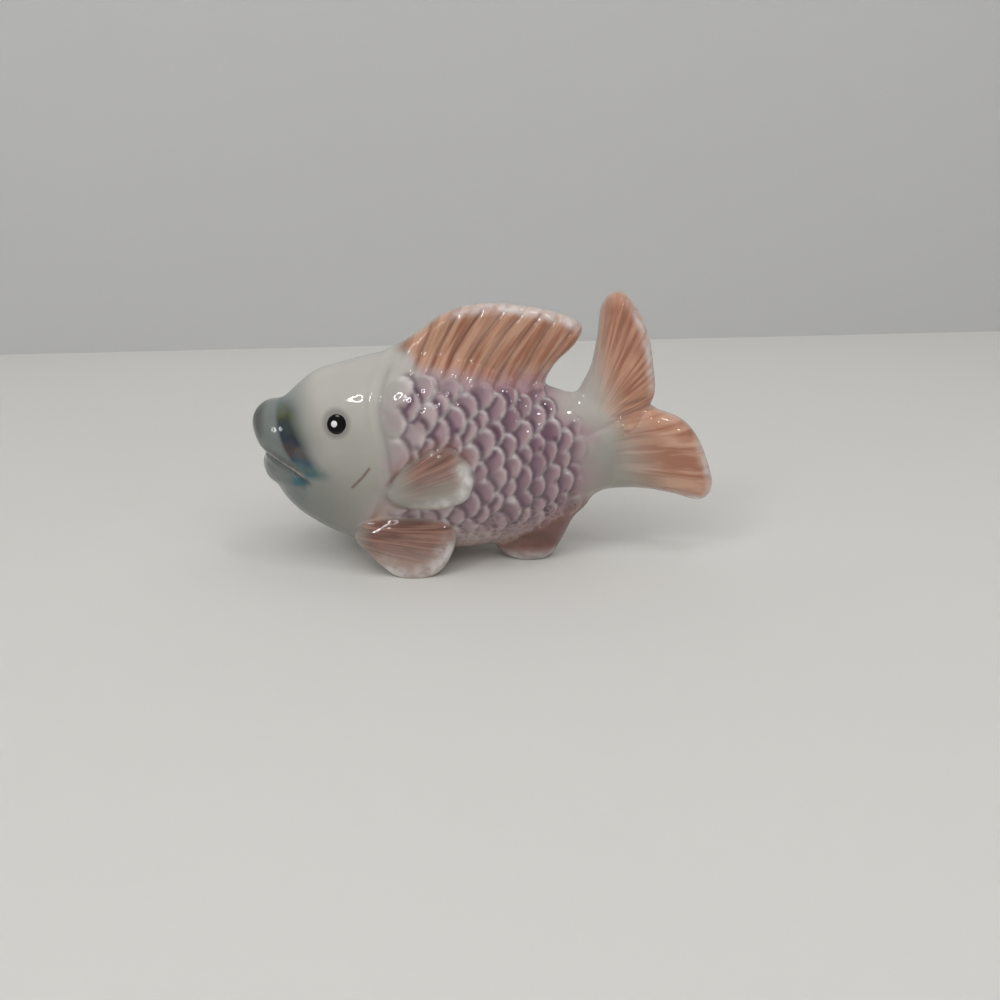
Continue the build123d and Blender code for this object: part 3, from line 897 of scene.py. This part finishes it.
    def owners(self, p: np.ndarray) -> np.ndarray:
        """Says which piece each place on the melted casting belongs to.

        Args:
            p: Places in millimetres before sculpting, one per row.

        Returns:
            An index into NODES for each place.
        """
        folded = p * (1, 0, 1) - np.abs(p) * (0, 1, 0)
        gap = body_gap(p)
        owner = np.zeros(len(p), int)
        mine = (gap > 0.5) & (ANAL.inside(p) > -2.0) & (np.abs(p[:, 1]) < 7.0) & (p[:, 2] < 16.0)
        owner[mine] = NODES.index("anal_fin")
        mine = (gap > 0.5) & (DORSAL.inside(p) > -2.0) & (p[:, 2] > dorsal_base(p[:, 0]) + 0.6)
        owner[mine] = NODES.index("dorsal_fin")
        for fin in self.paired:
            q = fin.local(folded)
            mine = (fin.inside(q) > -1.2) & (gap > 0.5) & (np.abs(q[:, 1]) < fin.thickness)
            owner[mine & (p[:, 1] < 0)] = NODES.index(fin.node)
            owner[mine & (p[:, 1] > 0)] = NODES.index(fin.node.replace("left", "right"))
        owner[p[:, 0] > 20.0] = NODES.index("tail_fin")
        return owner

    def part(self, skin: bpy.types.Object, owner: np.ndarray) -> dict[str, bpy.types.Object]:
        """Parts the skin into one closed piece for each node, with the skin's own shading across the joints.

        Args:
            skin: The sculpted casting.
            owner: An index into NODES for each face.

        Returns:
            The pieces by node.
        """
        layer = skin.data.attributes.new("flow", "FLOAT_VECTOR", "POINT")
        layer.data.foreach_set("vector", get_normals(skin).ravel())
        pieces = {}
        for index, node in enumerate(NODES):
            piece = skin.copy()
            piece.data = skin.data.copy()
            bpy.context.collection.objects.link(piece)
            piece.name = node + "_glazed"
            select_only(piece)
            bpy.ops.object.mode_set(mode="EDIT")
            bpy.ops.mesh.select_mode(type="FACE")
            bpy.ops.mesh.select_all(action="DESELECT")
            bpy.ops.object.mode_set(mode="OBJECT")
            piece.data.polygons.foreach_set("select", owner != index)
            bpy.ops.object.mode_set(mode="EDIT")
            bpy.ops.mesh.delete(type="FACE")
            bpy.ops.mesh.select_mode(type="VERT")
            bpy.ops.mesh.select_all(action="DESELECT")
            bpy.ops.mesh.select_non_manifold()
            bpy.ops.mesh.fill_holes(sides=0)
            bpy.ops.mesh.select_all(action="SELECT")
            bpy.ops.mesh.quads_convert_to_tris(quad_method="FIXED", ngon_method="BEAUTY")
            bpy.ops.mesh.normals_make_consistent(inside=False)
            bpy.ops.object.mode_set(mode="OBJECT")
            # a piece whose signed volume is negative came out inside out, and is turned
            corners = np.empty(len(piece.data.loops), np.int32)
            piece.data.loops.foreach_get("vertex_index", corners)
            first, second, third = get_points(piece)[corners].reshape(-1, 3, 3).transpose(1, 0, 2)
            if np.sum(first * np.cross(second, third)) < 0:
                bpy.ops.object.mode_set(mode="EDIT")
                bpy.ops.mesh.flip_normals()
                bpy.ops.object.mode_set(mode="OBJECT")
            bpy.ops.object.shade_smooth()
            flow = np.empty(len(piece.data.vertices) * 3, np.float32)
            piece.data.attributes["flow"].data.foreach_get("vector", flow)
            piece.data.attributes.remove(piece.data.attributes["flow"])
            piece.data.normals_split_custom_set_from_vertices(flow.reshape(-1, 3))
            pieces[node] = piece
        bpy.data.objects.remove(skin)
        return pieces

    def build(self) -> dict[str, bpy.types.Object]:
        """Casts, sculpts and parts the skin.

        Returns:
            The closed pieces by node.
        """
        skin = self.cast()
        corners = np.empty(len(skin.data.loops), np.int32)
        skin.data.loops.foreach_get("vertex_index", corners)
        starts = np.empty(len(skin.data.polygons), np.int32)
        skin.data.polygons.foreach_get("loop_start", starts)
        before = get_points(skin)
        middles = np.add.reduceat(before[corners], starts) / np.diff(np.append(starts, len(corners)))[:, None]
        owner = settled(self.owners(middles), corners, starts)
        self.sculpt(skin)
        return self.part(skin, owner)


def rgba(code: str) -> tuple[float, float, float, float]:
    """Turns an sRGB colour into the linear one that shaders use.

    Args:
        code: Colour as six hexadecimal digits.

    Returns:
        Linear red, green, blue and an alpha of 1.
    """
    values = [int(code[k:k + 2], 16) / 255 for k in (0, 2, 4)]
    return (*[v / 12.92 if v <= 0.04045 else ((v + 0.055) / 1.055)**2.4 for v in values], 1.0)


class Nodes:
    """Small helper that adds shader nodes with their settings and links."""

    def __init__(self, name: str) -> None:
        """Starts an empty material.

        Args:
            name: Name of the material.
        """
        self.material = bpy.data.materials.new(name)
        self.material.use_nodes = True
        self.tree = self.material.node_tree
        self.tree.nodes.clear()

    def add(self, kind: str, links: dict | None = None, **settings) -> bpy.types.Node:
        """Adds one node.

        Args:
            kind: Node type.
            links: Input name or index to a socket to link from or a value to set.
            settings: Node properties.

        Returns:
            The node.
        """
        node = self.tree.nodes.new(kind)
        for name, value in settings.items():
            setattr(node, name, value)
        for key, value in (links or {}).items():
            if isinstance(value, bpy.types.NodeSocket):
                self.tree.links.new(value, node.inputs[key])
            else:
                node.inputs[key].default_value = value
        return node

    def mask(self, mask: Mask) -> bpy.types.NodeSocket:
        """Reads a vertex mask.

        Args:
            mask: Mask to read.

        Returns:
            Socket with the mask's value.
        """
        return self.add("ShaderNodeAttribute", attribute_name=mask.value).outputs["Fac"]

    def math(self, operation: str, a, b=0.0, clamp: bool = False) -> bpy.types.NodeSocket:
        """Adds a sum of two values.

        Args:
            operation: Kind of sum.
            a: First socket or value.
            b: Second socket or value.
            clamp: Whether to keep the result between 0 and 1.

        Returns:
            Socket with the result.
        """
        return self.add("ShaderNodeMath", {0: a, 1: b}, operation=operation, use_clamp=clamp).outputs[0]

    def span(self, value: bpy.types.NodeSocket, low: float, high: float, least: float = 0.0) -> bpy.types.NodeSocket:
        """Stretches a range of values to run from 0 to 1.

        Args:
            value: Socket with the value.
            low: Value that gives the least result.
            high: Value that gives 1.
            least: Least result.

        Returns:
            Socket with the result.
        """
        links = {"Value": value, "From Min": low, "From Max": high, "To Min": least}
        return self.add("ShaderNodeMapRange", links).outputs["Result"]

    def over(self, colour, mask: Mask, share, paint) -> bpy.types.NodeSocket:
        """Lays a paint over a colour where a mask is.

        Args:
            colour: Colour below.
            mask: Mask of the paint.
            share: Socket or value that says how well the paint covers.
            paint: Colour of the paint as a socket or hexadecimal digits.

        Returns:
            Socket with the new colour.
        """
        return self.mix(self.math("MULTIPLY", self.mask(mask), share), colour, paint)

    def mix(self, share, a, b) -> bpy.types.NodeSocket:
        """Mixes two colours.

        Args:
            share: Socket or value that says how much of the second colour shows.
            a: First colour as a socket or hexadecimal digits.
            b: Second colour as a socket or hexadecimal digits.

        Returns:
            Socket with the mixed colour.
        """
        first, second = (rgba(c) if isinstance(c, str) else c for c in (a, b))
        return self.add("ShaderNodeMix", {0: share, 6: first, 7: second}, data_type="RGBA").outputs[2]


@dataclass(frozen=True)
class PearlGlaze:
    """Airbrushed pearl glaze under a clear gloss coat: soft colour, worn edges with painted highlights and painted
    shade, and a mirror-like skin.

    Attributes:
        name: Name of the material.
    """

    name: str = "airbrushed_pearl_glaze"

    def material(self) -> bpy.types.Material:
        """Builds the shader.

        Returns:
            The material.
        """
        n = Nodes(self.name)
        place = n.add("ShaderNodeTexCoord").outputs["Object"]
        cloud = n.add("ShaderNodeTexNoise", {"Vector": place, "Scale": 140.0, "Detail": 3.0}).outputs["Fac"]
        fine = n.add("ShaderNodeTexNoise", {"Vector": place, "Scale": 1400.0, "Detail": 2.0}).outputs["Fac"]
        # grey-white body of the glaze, slightly cloudy as if brushed, with painted shade that darkens it towards the
        # bottom
        parts = n.add("ShaderNodeSeparateXYZ", {"Vector": place})
        low = n.span(parts.outputs["Z"], 0.039, 0.020)
        colour = n.mix(low, n.mix(cloud, "C5C2BA", "B6B4AD"), n.mix(cloud, "A4A096", "95928A"))
        # lilac flank, patchy where the airbrush passed, each scale with a tone of its own
        rear = n.span(parts.outputs["X"], -0.016, 0.008)
        tint = n.mask(Mask.TINT)
        tone = n.mix(rear, n.mix(tint, "B09A9F", "BFADAE"), n.mix(tint, "9D7A86", "BA9CA2"))
        mauve = n.mask(Mask.MAUVE)
        patch = n.math("MULTIPLY", mauve, n.math("ADD", n.math("MULTIPLY", cloud, 0.8), 0.5), clamp=True)
        colour = n.mix(n.math("ADD", patch, n.math("MULTIPLY", mauve, 0.5), clamp=True), colour, tone)
        colour = n.over(colour, Mask.SHADE, 0.95, "52394A")
        # peach breath along the lower gill rim and the belly
        colour = n.over(colour, Mask.PEACH, 0.6, "C59B89")
        # blue-grey snout with a band of running colours behind the lip
        colour = n.over(colour, Mask.TEAL, 0.84, "646E6D")
        tip = n.span(parts.outputs["X"], -0.0484, -0.0504)
        colour = n.mix(n.math("MULTIPLY", tip, 0.6), colour, "3A3F38")
        drift = n.math("MULTIPLY", n.math("SUBTRACT", cloud, 0.5), 0.014)
        height = n.math("ADD", parts.outputs["Z"], drift)
        hues = n.add("ShaderNodeValToRGB", {"Fac": n.span(height, 0.021, 0.038)})
        stops = (
            (0.0, "3A626B"), (0.15, "45605F"), (0.3, "2C4759"), (0.46, "4E4543"), (0.58, "28343F"),
            (0.7, "454D3D"), (0.8, "575B42"), (0.97, "5C6A6D"),
        )
        ramp_stops = hues.color_ramp.elements
        while len(ramp_stops) < len(stops):
            ramp_stops.new(0.5)
        for stop, (at, code) in zip(ramp_stops, stops):
            stop.position = at
            stop.color = rgba(code)
        cover = n.math("ADD", n.math("MULTIPLY", cloud, 1.8), 0.5)
        blot = n.math("MULTIPLY", n.mask(Mask.CREASE), cover, clamp=True)
        colour = n.mix(blot, colour, hues.outputs["Color"])
        colour = n.over(colour, Mask.LIP, 0.9, "353A33")
        # brushed fins: streaks run along the rays, with dark lines where the pigment pooled in the grooves; the same
        # dark paint lays painted shade along the pectoral fin's upper edge and above the tail's fold, and darkens the
        # anal fin's dish
        flow = n.add("ShaderNodeCombineXYZ", {
            "X": n.math("MULTIPLY", n.mask(Mask.RAY), 3.0), "Y": n.math("MULTIPLY", parts.outputs["X"], 70.0),
            "Z": n.math("MULTIPLY", parts.outputs["Z"], 70.0),
        })
        brush = n.add("ShaderNodeTexNoise", {"Vector": flow.outputs[0], "Scale": 1.0, "Detail": 3.0})
        streak = n.span(brush.outputs["Fac"], 0.39, 0.62)
        tail = n.span(parts.outputs["X"], 0.019, 0.026)
        lobe = n.span(parts.outputs["Z"], 0.026, 0.038)
        lobes = n.mix(streak, n.mix(lobe, "A86A4C", "9C5634"), n.mix(lobe, "D6A68B", "D09676"))
        salmon = n.mix(tail, n.mix(streak, "9C5C3C", "CB9A7D"), lobes)
        rose = n.mix(streak, "6C3F33", "A27162")
        colour = n.over(colour, Mask.SALMON, 0.9, salmon)
        colour = n.over(colour, Mask.ROSE, 0.85, rose)
        line = n.math("POWER", n.math("MULTIPLY", n.math("PINGPONG", n.mask(Mask.RAY), 0.5), 2.0), 4.0)
        dorsal = n.math("MULTIPLY", n.mask(Mask.SALMON), n.math("LESS_THAN", n.mask(Mask.RAY), 20.0))
        line = n.math("MULTIPLY", n.math("MULTIPLY", line, dorsal), 0.6)
        # pooled pigment in the grooves, and painted shade where fins overlap the flank or each other
        pooled_glaze_and_shade = n.math("MAXIMUM", n.math("MULTIPLY", n.mask(Mask.GROOVE), 0.55), line)
        colour = n.mix(pooled_glaze_and_shade, colour, "6A4336")
        # edges worn white on the fins' rims, painted highlights along the scales' upper rims and the tail's trailing
        # edges, and a light line along the upper lip's lower edge; all broken up as on a brushed rim
        blotch = n.add("ShaderNodeTexNoise", {"Vector": place, "Scale": 420.0, "Detail": 3.0}).outputs["Fac"]
        broken = n.span(blotch, 0.4, 0.62, 0.4)
        colour = n.over(colour, Mask.EDGE, broken, "E6E0DE")
        # fine white net on the belly, where the scales run out
        wobble = n.add("ShaderNodeTexNoise", {"Vector": place, "Scale": 500.0}).outputs["Color"]
        bent = n.add("ShaderNodeMix", {0: 0.0016, 4: place, 5: wobble}, data_type="VECTOR").outputs[1]
        cells = n.add("ShaderNodeTexVoronoi", {"Vector": bent, "Scale": 520.0}, feature="DISTANCE_TO_EDGE")
        net = n.span(cells.outputs["Distance"], 0.22, 0.02)
        net = n.math("MULTIPLY", n.math("MULTIPLY", net, broken), 0.42)
        colour = n.over(colour, Mask.FLECK, net, "D6BDB2")
        colour = n.over(colour, Mask.HALO, 0.55, "6F6C68")
        colour = n.over(colour, Mask.DASH, 0.85, "6E5348")
        bump = n.add("ShaderNodeBump", {"Height": fine, "Strength": 0.02, "Distance": 0.0002}).outputs["Normal"]
        shader = n.add("ShaderNodeBsdfPrincipled", {
            "Base Color": colour, "Roughness": 0.45, "Specular IOR Level": 0.25, "IOR": 1.52,
            "Coat Weight": 1.0, "Coat Roughness": 0.03, "Subsurface Weight": 0.0, "Normal": bump,
        })
        n.add("ShaderNodeOutputMaterial", {"Surface": shader.outputs[0]})
        return n.material


@dataclass(frozen=True)
class Enamel:
    """Thick drop of fired enamel: one deep colour under a wet gloss.

    Attributes:
        name: Name of the material.
        colour: Its colour as hexadecimal digits.
    """

    name: str
    colour: str

    def material(self) -> bpy.types.Material:
        """Builds the shader.

        Returns:
            The material.
        """
        n = Nodes(self.name)
        place = n.add("ShaderNodeTexCoord").outputs["Object"]
        cloud = n.add("ShaderNodeTexNoise", {"Vector": place, "Scale": 900.0}).outputs["Fac"]
        colour = n.mix(n.math("MULTIPLY", cloud, 0.03), self.colour, "8A8680")
        shader = n.add("ShaderNodeBsdfPrincipled", {
            "Base Color": colour, "Roughness": 0.1, "Specular IOR Level": 0.3,
        })
        n.add("ShaderNodeOutputMaterial", {"Surface": shader.outputs[0]})
        return n.material


@dataclass
class Dot:
    """One domed dot of enamel on the head.

    Attributes:
        node: CAD node that it stands for.
        side: -1 on the left, 1 on the right.
        x: Place along X in millimetres.
        z: Height in millimetres.
        radius: Radius of the dot.
        stand: Height of its crown above the head.
        sink: Depth of its lower half.
    """

    node: str
    side: int
    x: float
    z: float
    radius: float
    stand: float
    sink: float = 0.6

    def build(self, skin: bpy.types.Object) -> bpy.types.Object:
        """Models the dot as a flattened ball on the skin.

        Args:
            skin: The casting that carries the dot.

        Returns:
            A closed mesh object.
        """
        start = Vector((self.x * MM, self.side * 0.05, self.z * MM))
        _, point, normal, _ = skin.ray_cast(start, Vector((0, -self.side, 0)))
        bpy.ops.object.select_all(action="DESELECT")
        bpy.ops.mesh.primitive_uv_sphere_add(segments=48, ring_count=24, radius=1)
        dot = bpy.context.object
        unit = get_points(dot) * MM
        tall = np.where(unit[:, 2] > 0, self.stand, self.sink)
        flat = np.column_stack([unit[:, 0] * self.radius, unit[:, 1] * self.radius, unit[:, 2] * tall])
        turn = np.array(normal.to_track_quat("Z", "Y").to_matrix())
        set_points(dot, flat @ turn.T + np.array(point) / MM)
        dot.name = self.node + "_enamel"
        bpy.ops.object.shade_smooth()
        return dot


@dataclass
class Studio:
    """Pale table, pale wall, soft lights and the camera.

    Attributes:
        eye: Camera place in millimetres.
        pitch: Degrees that the camera looks down.
        lens: Focal length in millimetres on a 36 mm sensor.
        wall_left: Y of the wall at its left end, in metres.
        wall_right: Y of the wall at its right end, in metres.
    """

    eye: tuple[float, float, float] = (3.46, -231.6, 98.6)
    pitch: float = 20.3
    lens: float = 39.6
    wall_left: float = 0.115
    wall_right: float = 0.335

    def build(self) -> None:
        """Adds the stage, the lights and the camera."""
        bpy.ops.object.select_all(action="DESELECT")
        bpy.ops.mesh.primitive_plane_add(size=1)
        floor = bpy.context.object
        floor.name = "table"
        left, right = self.wall_left, self.wall_right
        corners = np.array([(-1, -1, 0), (1, -1, 0), (-1, left, 0), (1, right, 0)], float)
        floor.data.vertices.foreach_set("co", corners.ravel())
        bpy.ops.object.mode_set(mode="EDIT")
        bpy.ops.mesh.select_all(action="DESELECT")
        bpy.ops.object.mode_set(mode="OBJECT")
        bpy.ops.mesh.primitive_plane_add(size=1)
        wall = bpy.context.object
        wall.name = "wall"
        corners = np.array([(-1, left, 0), (1, right, 0), (-1, left, 2.5), (1, right, 2.5)], float)
        wall.data.vertices.foreach_set("co", corners.ravel())
        for piece, name, code in ((floor, "pale_cloth", "DEDDD9"), (wall, "pale_wall", "CFCFCF")):
            n = Nodes(name)
            place = n.add("ShaderNodeTexCoord").outputs["Object"]
            cloud = n.add("ShaderNodeTexNoise", {"Vector": place, "Scale": 9.0, "Detail": 4.0}).outputs["Fac"]
            colour = n.mix(n.math("MULTIPLY", cloud, 0.12), code, "BDBCB8")
            matt = {"Base Color": colour, "Roughness": 0.9, "Specular IOR Level": 0.1}
            shader = n.add("ShaderNodeBsdfPrincipled", matt)
            n.add("ShaderNodeOutputMaterial", {"Surface": shader.outputs[0]})
            piece.data.materials.append(n.material)
        self.light("ceiling", (0.02, -0.5, 0.8), 1.1, 4.25, False)
        self.light("skylight", (0.3, 0.25, 0.8), 0.6, 1.0, False)
        self.light("window", (-0.5, -0.6, 0.5), 0.6, 0.35, False)
        self.light("lamp_left", (-0.2, -0.3, 0.6), 0.03, 0.08, False)
        self.light("lamp_right", (0.15, -0.12, 0.62), 0.05, 0.16, True)
        self.light("lamp_far", (0.4, -0.3, 0.55), 0.05, 0.14, True)
        self.light("lamp_low", (0.5, -0.5, 0.32), 0.05, 0.14, True)
        self.ring((-0.29, -0.355, 0.44))
        world = bpy.data.worlds.new("room")
        bpy.context.scene.world = world
        world.use_nodes = True
        world.node_tree.nodes["Background"].inputs["Color"].default_value = rgba("E8E8E6")
        world.node_tree.nodes["Background"].inputs["Strength"].default_value = 0.25
        camera = bpy.data.objects.new("camera", bpy.data.cameras.new("camera"))
        bpy.context.collection.objects.link(camera)
        camera.location = Vector(self.eye) * MM
        camera.rotation_euler = (math.radians(90 - self.pitch), 0, 0)
        camera.data.lens = self.lens
        camera.data.sensor_width = 36
        camera.data.clip_start = 0.01
        bpy.context.scene.camera = camera
        bpy.context.scene.view_settings.view_transform = "Standard"

    def ring(self, place: tuple[float, float, float]) -> None:
        """Adds a ring lamp, whose outline shows in the gloss of the head.

        Args:
            place: Its middle in metres.
        """
        bpy.ops.mesh.primitive_torus_add(
            major_radius=0.05, minor_radius=0.005, major_segments=48, minor_segments=12)
        lamp = bpy.context.object
        lamp.name = "ring_lamp"
        lamp.location = place
        forehead = Vector((-0.03, -0.01, 0.035))
        lamp.rotation_euler = (forehead - Vector(place)).to_track_quat("-Z", "Y").to_euler()
        n = Nodes("lit_ring")
        glow = n.add("ShaderNodeEmission", {"Color": rgba("FFFFFF"), "Strength": 40.0})
        n.add("ShaderNodeOutputMaterial", {"Surface": glow.outputs[0]})
        lamp.data.materials.append(n.material)

    def light(
        self, name: str, place: tuple[float, float, float], size: float, power: float, mirrored: bool,
    ) -> None:
        """Adds one round light that faces the figurine.

        Args:
            name: Name of the light.
            place: Its place in metres.
            size: Its width in metres.
            power: Its power in watts.
            mirrored: Whether it is seen in reflections.
        """
        lamp = bpy.data.lights.new(name, "AREA")
        lamp.shape = "DISK"
        lamp.size = size
        lamp.energy = power
        holder = bpy.data.objects.new(name, lamp)
        bpy.context.collection.objects.link(holder)
        holder.location = place
        holder.visible_glossy = mirrored
        holder.rotation_euler = (Vector((0, 0, 0.03)) - Vector(place)).to_track_quat("-Z", "Y").to_euler()


def main() -> None:
    """Builds every piece in order and hands the scene over."""
    logging.basicConfig(level=logging.INFO)
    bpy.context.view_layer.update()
    glaze = PearlGlaze().material()
    pieces = Skin().build()
    for node, piece in pieces.items():
        piece.data.materials.clear()
        piece.data.materials.append(glaze)
        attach(piece, "root")
        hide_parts(node)
        log.info("%s: %d faces", piece.name, len(piece.data.polygons))
    black = Enamel("black_enamel", "050506").material()
    white = Enamel("white_enamel", "EFEEEA").material()
    for side, name in ((-1, "left"), (1, "right")):
        eye = Dot(name + "_eye", side, *EYE, 2.1, 0.32)
        glint = Dot(name + "_eye_glint", side, EYE[0] - 0.4, EYE[1], 0.85, 0.5)
        for dot, finish, slot in ((eye, black, "eye_enamel"), (glint, white, "glint_enamel")):
            piece = dot.build(pieces["body_shell"])
            piece.data.materials.append(finish)
            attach(piece, "root")
            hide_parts(dot.node)
            log.info("%s: %d faces", piece.name, len(piece.data.polygons))
    Studio().build()


if __name__ == "__main__":
    main()
